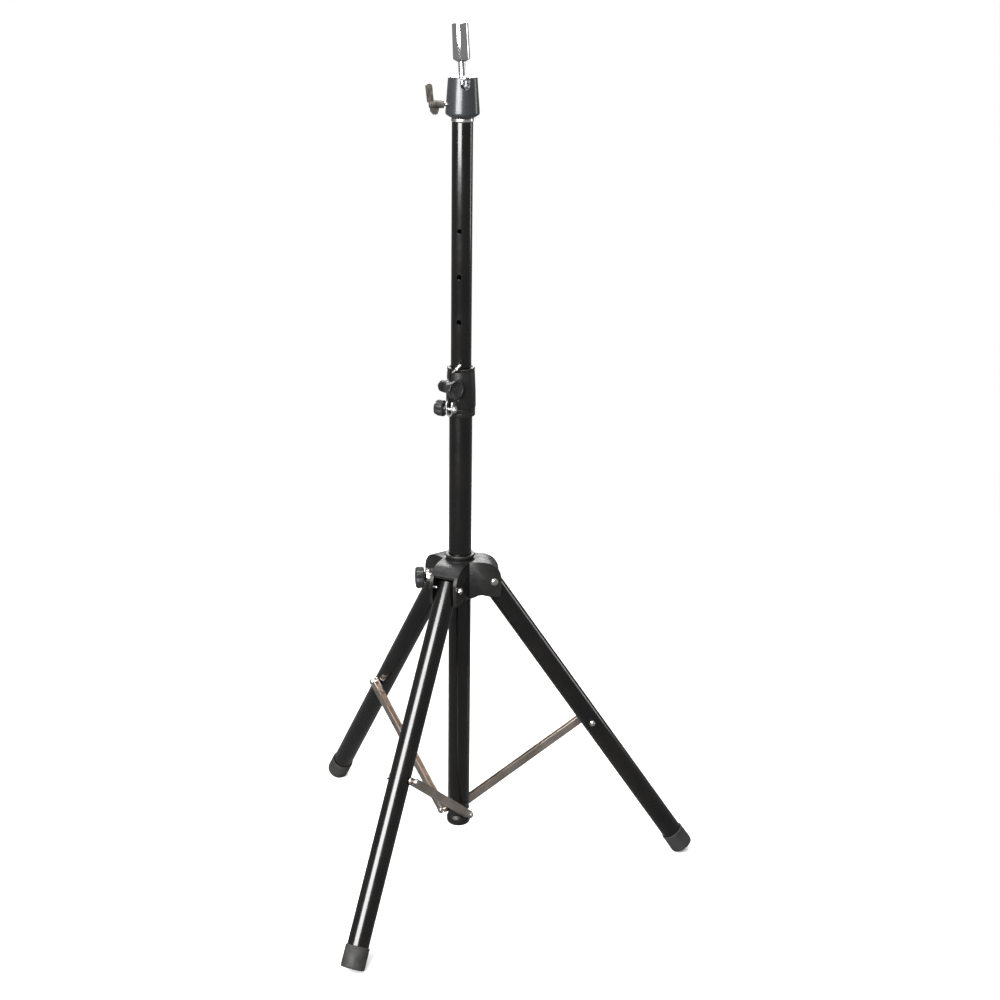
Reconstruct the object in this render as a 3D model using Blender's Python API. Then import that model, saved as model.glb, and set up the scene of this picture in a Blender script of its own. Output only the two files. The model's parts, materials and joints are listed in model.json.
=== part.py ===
"""Tripod stand with a telescoping mast, three folding legs and a tilting taper post.

Metres, +Z up. The origin is the point on the floor below the mast's axis. Each leg lies in an
upright plane through that axis. "Side" is the distance from a leg's plane, positive anticlockwise
seen from above, and "radius" is the distance from the mast's axis.
"""

import math

import bmesh
import bpy
from mathutils import Matrix

MM = 0.001
GAP = 0.3 * MM  # between pieces that touch
ROUND = 40  # steps round a tube
SMALL_ROUND = 16  # steps round a bolt

# Legs
LEG_AZIMUTHS = [math.radians(5.4 + 120 * i) for i in range(3)]
SPLAY = math.radians(34)
LEG_RADIUS = 16.5 * MM
LEG_WALL = 1.5 * MM
PIVOT_RADIUS = 52 * MM  # the bolt a leg swings on
PIVOT_Z = 497 * MM
LEG_OFFSET = 6 * MM  # the tube's axis runs this far inside the bolt
LEG_TOP = 10 * MM  # the tube's end above the bolt
LEG_END_Z = 8.6 * MM  # centre of the foot cap's end face
LEG_LENGTH = (PIVOT_Z - LEG_OFFSET * math.sin(SPLAY) - LEG_END_Z) / math.cos(SPLAY)
CAP_RADIUS = 18.5 * MM
CAP_LENGTH = 34 * MM
CAP_FLOOR = 6 * MM
CAP_EDGE = 3 * MM

# Braces, from the foot of the mast to a bolt through each leg
BRACE_FOOT_RADIUS = 12 * MM
BRACE_FOOT_Z = 94 * MM
LEG_BOLT_DOWN = 298 * MM  # along the leg from its pivot
LEG_BOLT_RADIUS = (
    PIVOT_RADIUS - LEG_OFFSET * math.cos(SPLAY) + LEG_BOLT_DOWN * math.sin(SPLAY)
)
LEG_BOLT_Z = (
    PIVOT_Z - LEG_OFFSET * math.sin(SPLAY) - LEG_BOLT_DOWN * math.cos(SPLAY)
)
BRACE_RUN = LEG_BOLT_RADIUS - BRACE_FOOT_RADIUS
BRACE_RISE = LEG_BOLT_Z - BRACE_FOOT_Z
BRACE_LENGTH = math.hypot(BRACE_RUN, BRACE_RISE)
BRACE_SLOPE = math.atan2(BRACE_RISE, BRACE_RUN)
BRACE_INNER = 18 * MM  # the channel runs beside the leg and the mast, between these sides
BRACE_OUTER = 28.5 * MM
BRACE_HALF = 6 * MM  # half its depth
BRACE_SHEET = 2 * MM
BOLT_RADIUS = 2.5 * MM
BOLT_HOLE = 2.8 * MM

# Mast
LOWER_RADIUS = 17.5 * MM
LOWER_WALL = 1.2 * MM
LOWER_BOTTOM = 112 * MM
LOWER_TOP = 796 * MM
UPPER_RADIUS = 15.5 * MM
UPPER_WALL = 1.5 * MM
UPPER_BOTTOM = 560 * MM
UPPER_TOP = 1204 * MM
SLIDE_BORE = LOWER_RADIUS + GAP  # of what sits round the lower tube
PIN_AZIMUTH = math.radians(-104)
PIN_HOLE = 3.5 * MM
PIN_Z = 841.2 * MM
PIN_PITCH = 68.2 * MM
PIN_HOLES = range(-2, 4)  # in pitches from the one the pin is level with
PIN_TIP = 16 * MM

# Collar on top of the lower tube
COLLAR_BOTTOM = 776.5 * MM
COLLAR_TOP = 838 * MM
EAR_AZIMUTH = math.radians(-140)
EAR_Z = 811.5 * MM
EAR_HALF = 9.5 * MM
EAR_SIDES = -8.5 * MM, 7.5 * MM
EAR_SCREW_RADIUS = 30 * MM
SCREW_RADIUS = 3 * MM
SCREW_HOLE = 3.3 * MM
BAND_BOTTOM = 763 * MM
BAND_TOP = 776 * MM
BAND_AZIMUTH = math.radians(-118)
BAND_SCREW_RADIUS = 35 * MM
BAND_SCREW_Z = 780 * MM

# Hub that slides on the lower tube, measured from the height of the legs' pivots
HUB_HALF_WIDTH = 22.5 * MM
HUB_SLOT_HALF = 17.2 * MM
HUB_CORE = 24 * MM
HUB_BOTTOM = -27 * MM
HUB_TOP = 35 * MM
HUB_KNOB_AZIMUTH = math.radians(185.4)
HUB_KNOB_UP = 3 * MM
HUB_BOSS = 8.5 * MM
HUB_BOSS_END = 43 * MM
HUB_INSERT = 9.7 * MM

# Head and post
RING_THICK = 5 * MM
HEAD_BOTTOM = UPPER_TOP + RING_THICK + 2 * GAP
HEAD_TOP = 1268 * MM
BALL_Z = 1258 * MM
BALL_RADIUS = 12 * MM
NECK_RADIUS = 5.2 * MM
SLOT_AZIMUTH = math.radians(-80)
SLOT_HALF = 7 * MM
LEVER_AZIMUTH = math.radians(-170)
LEVER_Z = 1229 * MM
POST_LEAN = math.radians(3)
POST_BOTTOM = 31 * MM  # along the post from the ball's centre
POST_TOP = 86 * MM

# name, base colour, roughness, metallic
BLACK_ENAMEL = "black enamel", (0.012, 0.012, 0.013), 0.22, 0.0
DARK_PLASTIC = "dark plastic", (0.045, 0.046, 0.05), 0.45, 0.0
KNOB_PLASTIC = "knob plastic", (0.03, 0.03, 0.033), 0.4, 0.0
BLACK_RUBBER = "black rubber", (0.018, 0.018, 0.018), 0.65, 0.0
WHITE_NYLON = "white nylon", (0.7, 0.69, 0.65), 0.4, 0.0
GRAPHITE = "graphite enamel", (0.05, 0.052, 0.058), 0.2, 0.6
CHROME = "chrome", (0.86, 0.86, 0.88), 0.08, 1.0
ZINC = "bright zinc", (0.7, 0.7, 0.68), 0.28, 1.0
NICKEL_STEEL = "nickel steel", (0.5, 0.46, 0.43), 0.3, 1.0
CAST_METAL = "cast metal", (0.2, 0.19, 0.18), 0.4, 0.8


def clear_scene():
    for obj in list(bpy.data.objects):
        bpy.data.objects.remove(obj)


def material(name, color, roughness, metallic):
    made = bpy.data.materials.get(name)
    if made is None:
        made = bpy.data.materials.new(name)
        made.use_nodes = True
        shader = made.node_tree.nodes["Principled BSDF"]
        shader.inputs["Base Color"].default_value = (*color, 1)
        shader.inputs["Roughness"].default_value = roughness
        shader.inputs["Metallic"].default_value = metallic
    return made


# Frames


def turn(azimuth):
    return Matrix.Rotation(azimuth, 4, "Z")


def outwards(azimuth, z=0.0):
    """Local Z points outwards at an azimuth, from the mast's axis at a height."""
    rise = Matrix.Translation((0, 0, z))
    return turn(azimuth) @ rise @ Matrix.Rotation(math.pi / 2, 4, "Y")


def sideways(azimuth, radius, z, sign=1):
    """Local Z points to the positive side, or to the negative, from a point in a plane."""
    point = Matrix.Translation((radius, 0, z))
    return turn(azimuth) @ point @ Matrix.Rotation(-sign * math.pi / 2, 4, "X")


def leg_frame(azimuth):
    """At the pivot, with local Z up along the leg and local X away from the mast."""
    point = Matrix.Translation((PIVOT_RADIUS, 0, PIVOT_Z))
    return turn(azimuth) @ point @ Matrix.Rotation(-SPLAY, 4, "Y")


def brace_frame(azimuth):
    """At the brace's pin, with local X along the brace and local Y to the side."""
    point = Matrix.Translation((BRACE_FOOT_RADIUS, 0, BRACE_FOOT_Z))
    return turn(azimuth) @ point @ Matrix.Rotation(-BRACE_SLOPE, 4, "Y")


def post_frame():
    point = Matrix.Translation((0, 0, BALL_Z))
    return point @ Matrix.Rotation(-POST_LEAN, 4, "Y")


# Solids


def finished(bm):
    bmesh.ops.recalc_face_normals(bm, faces=bm.faces)
    return bm


def turned(profile, steps=ROUND, closed=False, waves=0):
    """A solid turned about Z from (radius, z) points, from the axis back to the axis, or a
    closed ring. A third value on a point is how far its circle swells at each of the waves.
    """
    bm = bmesh.new()
    rings = []
    for radius, z, *swell in profile:
        ring = []
        for step in range(steps if radius > 0 else 1):
            angle = 2 * math.pi * step / steps
            out = radius + sum(swell) * math.cos(waves * angle)
            point = out * math.cos(angle), out * math.sin(angle), z
            ring.append(bm.verts.new(point))
        rings.append(ring)
    pairs = list(zip(rings, rings[1:]))
    if closed:
        pairs.append((rings[-1], rings[0]))
    for below, above in pairs:
        for step in range(steps):
            after = step + 1
            corners = [
                below[step % len(below)],
                below[after % len(below)],
                above[after % len(above)],
                above[step % len(above)],
            ]
            bm.faces.new(list(dict.fromkeys(corners)))
    return finished(bm)


def tube(outer, inner, bottom, top):
    profile = [(outer, bottom), (outer, top), (inner, top), (inner, bottom)]
    return turned(profile, closed=True)


def rod(radius, bottom, top, steps=SMALL_ROUND):
    return turned([(0, bottom), (radius, bottom), (radius, top), (0, top)], steps)


def hexagon(radius, bottom, top):
    return rod(radius, bottom, top, 6)


def prism(outline, low, high):
    """An outline in x and y, raised from low to high along Z."""
    bm = bmesh.new()
    face = bm.faces.new([bm.verts.new((x, y, low)) for x, y in outline])
    raised = bmesh.ops.extrude_face_region(bm, geom=[face])["geom"]
    points = [item for item in raised if isinstance(item, bmesh.types.BMVert)]
    bmesh.ops.translate(bm, verts=points, vec=(0, 0, high - low))
    return finished(bm)


def block(x, y, z):
    return prism([(x[0], y[0]), (x[1], y[0]), (x[1], y[1]), (x[0], y[1])], *z)


def arc(centre, radius, start, end, steps):
    """Points round a centre, from start to end degrees."""
    points = []
    for i in range(steps + 1):
        angle = math.radians(start + (end - start) * i / steps)
        x = centre[0] + radius * math.cos(angle)
        points.append((x, centre[1] + radius * math.sin(angle)))
    return points


def moved(bm, matrix):
    bm.transform(matrix)
    return bm


def upright(outline, low_side, high_side, azimuth=0.0):
    """An outline in radius and height, thickened from one side to the other."""
    stand_up = Matrix.Rotation(math.pi / 2, 4, "X")
    return moved(prism(outline, -high_side, -low_side), turn(azimuth) @ stand_up)


# Objects


def place(name, mesh, look, matrix=None, parent=None):
    if not mesh.materials:
        mesh.materials.append(material(*look))
        mesh.shade_smooth()
        mesh.set_sharp_from_angle(angle=math.radians(35))
    obj = bpy.data.objects.new(name, mesh)
    bpy.context.collection.objects.link(obj)
    obj.parent = parent
    obj.matrix_local = matrix or Matrix.Identity(4)
    return obj


def mesh_of(name, bm):
    mesh = bpy.data.meshes.new(name)
    bm.to_mesh(mesh)
    bm.free()
    return mesh


def add(name, bm, look, matrix=None, parent=None):
    return place(name, mesh_of(name, bm), look, matrix, parent)


def empty(name, matrix, parent=None):
    obj = bpy.data.objects.new(name, None)
    bpy.context.collection.objects.link(obj)
    obj.parent = parent
    obj.matrix_local = matrix
    return obj


def shaped(name, base, steps):
    """The mesh of a base solid after some Booleans: steps are (operation, solid)."""
    objects = []
    for bm in [base] + [bm for _, bm in steps]:
        obj = bpy.data.objects.new("solid", mesh_of("solid", bm))
        bpy.context.collection.objects.link(obj)
        objects.append(obj)
    for (operation, _), other in zip(steps, objects[1:]):
        modifier = objects[0].modifiers.new("step", "BOOLEAN")
        modifier.operation = operation
        modifier.object = other
        modifier.solver = "EXACT"
    graph = bpy.context.evaluated_depsgraph_get()
    result = bpy.data.meshes.new_from_object(objects[0].evaluated_get(graph))
    result.name = name
    for obj in objects:
        bpy.data.objects.remove(obj)
    return result


def cut(bm):
    return "DIFFERENCE", bm


def join(bm):
    return "UNION", bm


# Mast


def lower_mast():
    inner = LOWER_RADIUS - LOWER_WALL
    add("lower_tube", tube(LOWER_RADIUS, inner, LOWER_BOTTOM, LOWER_TOP), BLACK_ENAMEL)
    # the end moulding: a flanged foot with a waist, a boss for each brace and a spigot in the tube
    profile = [
        (0, 70 * MM),
        (13 * MM, 70 * MM),
        (16.8 * MM, 71.2 * MM),
        (18.7 * MM, 73.8 * MM),
        (19.2 * MM, 77 * MM),
        (19.2 * MM, 81 * MM),
        (18.2 * MM, 84 * MM),
        (15.5 * MM, 87 * MM),
        (15.5 * MM, 106 * MM),
        (17.3 * MM, 108 * MM),
        (17.3 * MM, LOWER_BOTTOM - GAP),
        (inner - GAP, LOWER_BOTTOM - GAP),
        (inner - GAP, 136 * MM),
        (0, 136 * MM),
    ]
    steps = []
    centre = BRACE_FOOT_RADIUS, BRACE_FOOT_Z
    pin_end = 6 * MM
    for azimuth in LEG_AZIMUTHS:
        boss = rod(6 * MM, 4 * MM, BRACE_INNER - GAP, 20)
        steps.append(join(moved(boss, sideways(azimuth, *centre))))
    for azimuth in LEG_AZIMUTHS:
        hole = rod(BOLT_HOLE, pin_end - GAP, 25 * MM)
        steps.append(cut(moved(hole, sideways(azimuth, *centre))))
    place("mast_foot", shaped("mast_foot", turned(profile), steps), DARK_PLASTIC)
    # the pins the braces turn on
    pin = turned(
        [
            (0, pin_end),
            (BOLT_RADIUS, pin_end),
            (BOLT_RADIUS, BRACE_OUTER + GAP),
            (4.8 * MM, BRACE_OUTER + GAP),
            (4.8 * MM, BRACE_OUTER + 1.6 * MM),
            (3.4 * MM, BRACE_OUTER + 2.6 * MM),
            (0, BRACE_OUTER + 2.6 * MM),
        ],
        SMALL_ROUND,
    )
    mesh = mesh_of("brace_pin", pin)
    for i, azimuth in enumerate(LEG_AZIMUTHS, 1):
        place(f"brace_pin_{i}", mesh, ZINC, sideways(azimuth, *centre))


def collar():
    profile = [
        (22.2 * MM, COLLAR_BOTTOM),
        (22.6 * MM, COLLAR_BOTTOM + 0.8 * MM),
        (22.3 * MM, 800 * MM),
        (20.9 * MM, 831 * MM),
        (20.5 * MM, 833 * MM),
        (21 * MM, 834.2 * MM),
        (21 * MM, COLLAR_TOP - 0.8 * MM),
        (20.2 * MM, COLLAR_TOP),
        (SLIDE_BORE, COLLAR_TOP),
        (SLIDE_BORE, COLLAR_BOTTOM),
    ]
    # a round-ended ear, slit in the middle, with the clamping screw across it
    end = EAR_SCREW_RADIUS - 1.5 * MM, EAR_Z
    outline = [(19.5 * MM, EAR_Z + EAR_HALF), (19.5 * MM, EAR_Z - EAR_HALF)]
    outline += arc(end, EAR_HALF, -90, 90, 10)
    ear = upright(outline, *EAR_SIDES, EAR_AZIMUTH)
    heights = COLLAR_BOTTOM - 1 * MM, COLLAR_TOP + 1 * MM
    slit = block((15 * MM, 45 * MM), (-0.9 * MM, 0.9 * MM), heights)
    hole = rod(SCREW_HOLE, -20 * MM, 20 * MM)
    # a boss on the rim guides the locking pin
    boss = rod(4.6 * MM, 18.7 * MM, 21.8 * MM)
    pin_hole = rod(BOLT_HOLE, 15 * MM, 26 * MM)
    pin = outwards(PIN_AZIMUTH, PIN_Z)
    steps = [
        join(ear),
        join(moved(boss, pin)),
        cut(moved(slit, turn(EAR_AZIMUTH))),
        cut(moved(hole, sideways(EAR_AZIMUTH, EAR_SCREW_RADIUS, EAR_Z))),
        cut(moved(pin_hole, pin)),
    ]
    mesh = shaped("collar", turned(profile, closed=True), steps)
    place("collar", mesh, DARK_PLASTIC)
    bush = tube(SLIDE_BORE - GAP, UPPER_RADIUS + GAP, LOWER_TOP + GAP, COLLAR_TOP - 2 * MM)
    add("collar_bush", bush, WHITE_NYLON)


def nut(name, radius, bore, bottom, top):
    hole = rod(bore, bottom - MM, top + MM)
    return shaped(name, hexagon(radius, bottom, top), [cut(hole)])


def clamp_screw():
    screw = sideways(EAR_AZIMUTH, EAR_SCREW_RADIUS, EAR_Z)
    turning = empty("clamp_screw_axis", screw)
    neck = EAR_SIDES[1] + GAP
    knob = [
        (0, 20 * MM),
        (SCREW_HOLE, 20 * MM),
        (SCREW_HOLE, neck),
        (8.8 * MM, neck),
        (9.2 * MM, 9.5 * MM),
        (10.4 * MM, 13 * MM),
        (12.2 * MM, 18 * MM, 0.3 * MM),
        (13.9 * MM, 22 * MM, 0.6 * MM),
        (14.5 * MM, 23.6 * MM, 0.7 * MM),
        (14.5 * MM, 24.9 * MM, 0.7 * MM),
        (13.9 * MM, 26 * MM, 0.4 * MM),
        (12.2 * MM, 26 * MM),
        (10.4 * MM, 24.6 * MM),
        (6 * MM, 23.4 * MM),
        (0, 23 * MM),
    ]
    add("clamp_knob", turned(knob, 48, waves=8), KNOB_PLASTIC, parent=turning)
    stud = rod(SCREW_RADIUS, -14.5 * MM, 19.7 * MM)
    add("clamp_stud", stud, ZINC, parent=turning)
    mesh = nut("clamp_nut", 5.8 * MM, SCREW_HOLE, -13.2 * MM, EAR_SIDES[0] - GAP)
    place("clamp_nut", mesh, ZINC, screw)


def band():
    ring = [
        (21.2 * MM, BAND_BOTTOM),
        (21.8 * MM, BAND_BOTTOM + 0.6 * MM),
        (21.8 * MM, BAND_TOP - 0.6 * MM),
        (21.2 * MM, BAND_TOP),
        (SLIDE_BORE, BAND_TOP),
        (SLIDE_BORE, BAND_BOTTOM),
    ]
    add("collar_band", turned(ring, closed=True), DARK_PLASTIC)
    # a bent strip, open at the top, with the screw across it. Local X is down, Y to the side.
    strip = [
        (-13.5, -5),
        (5.5, -5),
        (9, -3.2),
        (10.5, -0.6),
        (10.5, 1.6),
        (9, 4.2),
        (5.5, 6),
        (-11.5, 6),
        (-11.5, 4.2),
        (5, 4.2),
        (7.6, 2.8),
        (8.7, 1.2),
        (8.7, -0.2),
        (7.6, -1.8),
        (5, -3.2),
        (-13.5, -3.2),
    ]
    strip = prism([(down * MM, side * MM) for down, side in strip], 20 * MM, 42 * MM)
    # its ends stand clear of the collar and only its bend reaches in to the band
    outline = [(22.1, -11.5), (39, -11.5), (39, 9), (37, 12.5), (35, 14)]
    outline += [(31.8, 14), (31, 12), (31, -2), (22.1, -3.8)]
    outline = [(r * MM, BAND_SCREW_Z + rise * MM) for r, rise in outline]
    hole = rod(BOLT_HOLE, -20 * MM, 20 * MM)
    steps = [
        ("INTERSECT", upright(outline, -20 * MM, 20 * MM, BAND_AZIMUTH)),
        cut(moved(hole, sideways(BAND_AZIMUTH, BAND_SCREW_RADIUS, BAND_SCREW_Z))),
    ]
    bent = moved(strip, outwards(BAND_AZIMUTH, BAND_SCREW_Z))
    place("band_bracket", shaped("band_bracket", bent, steps), ZINC)
    screw = sideways(BAND_AZIMUTH, BAND_SCREW_RADIUS, BAND_SCREW_Z, -1)
    turning = empty("band_screw_axis", screw)
    knob = [
        (0, 18 * MM),
        (BOLT_HOLE, 18 * MM),
        (BOLT_HOLE, 5.3 * MM),
        (6 * MM, 5.3 * MM),
        (6.2 * MM, 7.6 * MM),
        (10.4 * MM, 8.2 * MM, 0.3 * MM),
        (11.7 * MM, 9.8 * MM, 0.6 * MM),
        (11.9 * MM, 11.5 * MM, 0.6 * MM),
        (11.9 * MM, 19.5 * MM, 0.6 * MM),
        (11 * MM, 21.8 * MM, 0.5 * MM),
        (9.2 * MM, 23.2 * MM, 0.2 * MM),
        (7.4 * MM, 23.4 * MM),
        (6.6 * MM, 22.2 * MM),
        (0, 21.8 * MM),
    ]
    add("band_knob", turned(knob, 36, waves=6), KNOB_PLASTIC, parent=turning)
    stud = rod(BOLT_RADIUS, -11.5 * MM, 17.7 * MM)
    add("band_stud", stud, ZINC, parent=turning)
    mesh = nut("band_nut", 4.9 * MM, BOLT_HOLE, -10.4 * MM, -6.3 * MM)
    place("band_nut", mesh, ZINC, screw)


def lock_pin():
    """A pin with a slanting cross bar, drawn out just clear of the upper tube."""
    shaft = [
        (0, PIN_TIP),
        (1.9 * MM, PIN_TIP),
        (BOLT_RADIUS, PIN_TIP + 0.6 * MM),
        (BOLT_RADIUS, 29.4 * MM),
        (2 * MM, 30 * MM),
        (0, 30 * MM),
    ]
    bar = [(0, -9.8), (1.2, -9.4), (2, -8.4), (2, 8.4), (1.2, 9.4), (0, 9.8)]
    bar = turned([(radius * MM, z * MM) for radius, z in bar], SMALL_ROUND)
    # local X is down and local Y is to the side
    slant = Matrix.Rotation(math.radians(-133), 4, "Z") @ Matrix.Rotation(math.pi / 2, 4, "X")
    middle = Matrix.Translation((0, 0, 27.5 * MM))
    steps = [join(moved(bar, middle @ slant))]
    mesh = shaped("lock_pin", turned(shaft, SMALL_ROUND), steps)
    place("lock_pin", mesh, ZINC, outwards(PIN_AZIMUTH, PIN_Z))


def upper_mast(slide):
    inner = UPPER_RADIUS - UPPER_WALL
    steps = []
    for pitches in PIN_HOLES:
        hole = rod(PIN_HOLE, -25 * MM, 25 * MM)
        steps.append(cut(moved(hole, outwards(PIN_AZIMUTH, PIN_Z + pitches * PIN_PITCH))))
    base = tube(UPPER_RADIUS, inner, UPPER_BOTTOM, UPPER_TOP)
    mesh = shaped("upper_tube", base, steps)
    place("upper_tube", mesh, BLACK_ENAMEL, parent=slide)
    # the guide in its lower end, which runs inside the lower tube
    runner = LOWER_RADIUS - LOWER_WALL - GAP
    profile = [
        (0, UPPER_BOTTOM - 8 * MM),
        (runner - 0.8 * MM, UPPER_BOTTOM - 8 * MM),
        (runner, UPPER_BOTTOM - 7.2 * MM),
        (runner, UPPER_BOTTOM - GAP),
        (inner - GAP, UPPER_BOTTOM - GAP),
        (inner - GAP, UPPER_BOTTOM + 18 * MM),
        (0, UPPER_BOTTOM + 18 * MM),
    ]
    add("upper_tube_guide", turned(profile), WHITE_NYLON, parent=slide)


# Head and post


def head(slide):
    inner = UPPER_RADIUS - UPPER_WALL
    low = UPPER_TOP + GAP
    ring = [
        (16 * MM, low),
        (16.6 * MM, low + 0.6 * MM),
        (16.6 * MM, low + RING_THICK - 0.6 * MM),
        (16 * MM, low + RING_THICK),
        (inner, low + RING_THICK),
        (inner, low),
    ]
    add("head_ring", turned(ring, closed=True), ZINC, parent=slide)
    cone = [
        (0, 1180 * MM),
        (inner - GAP, 1180 * MM),
        (inner - GAP, HEAD_BOTTOM),
        (17 * MM, HEAD_BOTTOM),
        (24.3 * MM, 1214.2 * MM),
        (25 * MM, 1216 * MM),
        (24.9 * MM, 1218 * MM),
        (21.3 * MM, HEAD_TOP - 1.2 * MM),
        (20.1 * MM, HEAD_TOP),
        (0, HEAD_TOP),
    ]
    # a ball seat open at the top, with a slot the post's neck drops into
    seat = BALL_RADIUS + GAP
    seat = turned([(0, -seat)] + arc((0, 0), seat, -78, 78, 13) + [(0, seat)], 32)
    slot = arc((0, BALL_Z), SLOT_HALF, -180, 0, 10)
    slot += [(SLOT_HALF, HEAD_TOP + 5 * MM), (-SLOT_HALF, HEAD_TOP + 5 * MM)]
    slot = upright(slot, 0, 40 * MM, SLOT_AZIMUTH - math.pi / 2)
    # the mouth the neck stands in
    mouth = turned([(0, 0), (7.6 * MM, 0), (7.6 * MM, 9 * MM), (10 * MM, 11.4 * MM), (0, 11.4 * MM)], 32)
    lever_hole = rod(SCREW_HOLE, 7 * MM, 30 * MM)
    ball_up = Matrix.Translation((0, 0, BALL_Z))
    steps = [
        cut(moved(seat, ball_up)),
        cut(moved(mouth, ball_up)),
        cut(slot),
        cut(moved(lever_hole, outwards(LEVER_AZIMUTH, LEVER_Z))),
    ]
    mesh = shaped("head_socket", turned(cone), steps)
    place("head_socket", mesh, GRAPHITE, parent=slide)


def lever(slide):
    """A cast lever on the screw that locks the ball. Local X is down, local Z is outwards."""
    turning = empty("lever_axis", outwards(LEVER_AZIMUTH, LEVER_Z), slide)
    barrel = [
        (0, 42 * MM),
        (SCREW_HOLE, 42 * MM),
        (SCREW_HOLE, 27.5 * MM),
        (5.2 * MM, 27.5 * MM),
        (5.8 * MM, 28.3 * MM),
        (5.8 * MM, 47.6 * MM),
        (4.6 * MM, 49 * MM),
        (0, 49 * MM),
    ]
    # the arm rises from the barrel's outer end, in (outwards, up)
    arm = [(42.4, 3), (51.4, 3), (54, 25.5)] + arc((49.4, 25.5), 4.6, 0, 180, 8) + [(44.8, 25.5)]
    lobe = [(34.5, -4.2), (35.2, -9), (36.8, -13.4), (39.5, -14.6), (43.8, -14.2), (46.8, -10.6)]
    lobe += [(47.8, -4.2)]
    up = Matrix.Rotation(-math.pi / 2, 4, "Y")  # (outwards, up) to local Z and -X
    steps = []
    for outline, half in (arm, 4 * MM), (lobe, 3.4 * MM):
        outline = [(out * MM, rise * MM) for out, rise in outline]
        steps.append(join(moved(upright(outline, -half, half), up)))
    mesh = shaped("head_lever", turned(barrel, 24), steps)
    place("head_lever", mesh, CAST_METAL, parent=turning)
    stud = rod(SCREW_RADIUS, 8 * MM, 41.7 * MM)
    add("head_stud", stud, ZINC, parent=turning)


def post(slide):
    tilting = empty("post_axis", post_frame(), slide)
    neck_end = POST_BOTTOM + 12 * MM
    start = math.degrees(math.acos(NECK_RADIUS / BALL_RADIUS))
    ball = [(0, -BALL_RADIUS)] + arc((0, 0), BALL_RADIUS, -82, start, 18)
    ball += [(NECK_RADIUS, neck_end - GAP), (0, neck_end - GAP)]
    add("post_ball", turned(ball), CHROME, parent=tilting)
    taper = [
        (0, neck_end),
        (NECK_RADIUS + GAP, neck_end),
        (NECK_RADIUS + GAP, POST_BOTTOM),
        (6.6 * MM, POST_BOTTOM),
        (11.6 * MM, POST_BOTTOM + 3.2 * MM),
        (12.4 * MM, POST_BOTTOM + 4.6 * MM),
        (11.6 * MM, POST_TOP - 0.8 * MM),
        (10.8 * MM, POST_TOP),
        (0, POST_TOP),
    ]
    add("post_taper", turned(taper), CHROME, parent=tilting)


# Hub


def hub_body():
    """The moulding with a slotted arm over each leg, drawn from the height of the pivots."""
    core = turned([(0, HUB_BOTTOM), (HUB_CORE, HUB_BOTTOM), (HUB_CORE, HUB_TOP), (0, HUB_TOP)])
    arm = [
        (12, 34),
        (20, 33.5),
        (34, 32.6),
        (42, 31),
        (49, 28.2),
        (54.5, 24.2),
        (58.7, 19.4),
        (61.5, 14),
        (62.7, 8),
        (63, 0),
        (62.6, -14),
        (62.3, -22.8),
        (60.6, -24.3),
        (54, -24.6),
        (46, -25),
        (39, -23.4),
        (33, -21.8),
        (27, -22.6),
        (22, -25),
        (17, -26.8),
        (12, -26.8),
    ]
    slot = [(26, -40), (26, 27), (36, 27), (48, 23.5), (57, 17.5), (58, 40), (70, 40), (70, -40)]
    arm, slot = [[(r * MM, z * MM) for r, z in points] for points in (arm, slot)]
    steps = [join(upright(arm, -HUB_HALF_WIDTH, HUB_HALF_WIDTH, a)) for a in LEG_AZIMUTHS]
    boss = moved(rod(HUB_BOSS, 12 * MM, HUB_BOSS_END, 24), outwards(HUB_KNOB_AZIMUTH, HUB_KNOB_UP))
    steps.append(join(boss))
    for azimuth in LEG_AZIMUTHS:
        steps.append(cut(upright(slot, -HUB_SLOT_HALF, HUB_SLOT_HALF, azimuth)))
        hole = rod(SCREW_HOLE, -30 * MM, 30 * MM)
        steps.append(cut(moved(hole, sideways(azimuth, PIVOT_RADIUS, 0))))
    bore = rod(SLIDE_BORE, -50 * MM, 50 * MM, ROUND)
    steps.append(cut(moved(bore, turn(math.pi / ROUND))))
    screw_hole = rod(SCREW_HOLE, 10 * MM, 50 * MM)
    steps.append(cut(moved(screw_hole, outwards(HUB_KNOB_AZIMUTH, HUB_KNOB_UP))))
    return shaped("hub_body", core, steps)


def hub_screw(hub):
    """The lobed knob that locks the hub to the lower tube."""
    screw = outwards(HUB_KNOB_AZIMUTH, HUB_KNOB_UP)
    turning = empty("hub_screw_axis", screw, hub)
    low = HUB_BOSS_END + GAP
    insert = nut("hub_insert", 6.8 * MM, SCREW_HOLE, low, low + HUB_INSERT)
    place("hub_insert", insert, ZINC, screw, hub)
    start = low + HUB_INSERT + GAP
    bore_end = start + 12.7 * MM
    stud = rod(SCREW_RADIUS, 18.1 * MM, bore_end - GAP)
    add("hub_stud", stud, ZINC, parent=turning)
    knob = [
        (0, bore_end),
        (SCREW_HOLE, bore_end),
        (SCREW_HOLE, start),
        (7.5 * MM, start),
        (8.4 * MM, start + 2.4 * MM),
        (14.6 * MM, start + 3 * MM, 0.8 * MM),
        (16 * MM, start + 4.8 * MM, 1.2 * MM),
        (16.2 * MM, start + 13.5 * MM, 1.2 * MM),
        (14.6 * MM, start + 15.8 * MM, 0.8 * MM),
        (9 * MM, start + 16.6 * MM),
        (0, start + 16.6 * MM),
    ]
    add("hub_knob", turned(knob, 42, waves=7), KNOB_PLASTIC, parent=turning)


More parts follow.
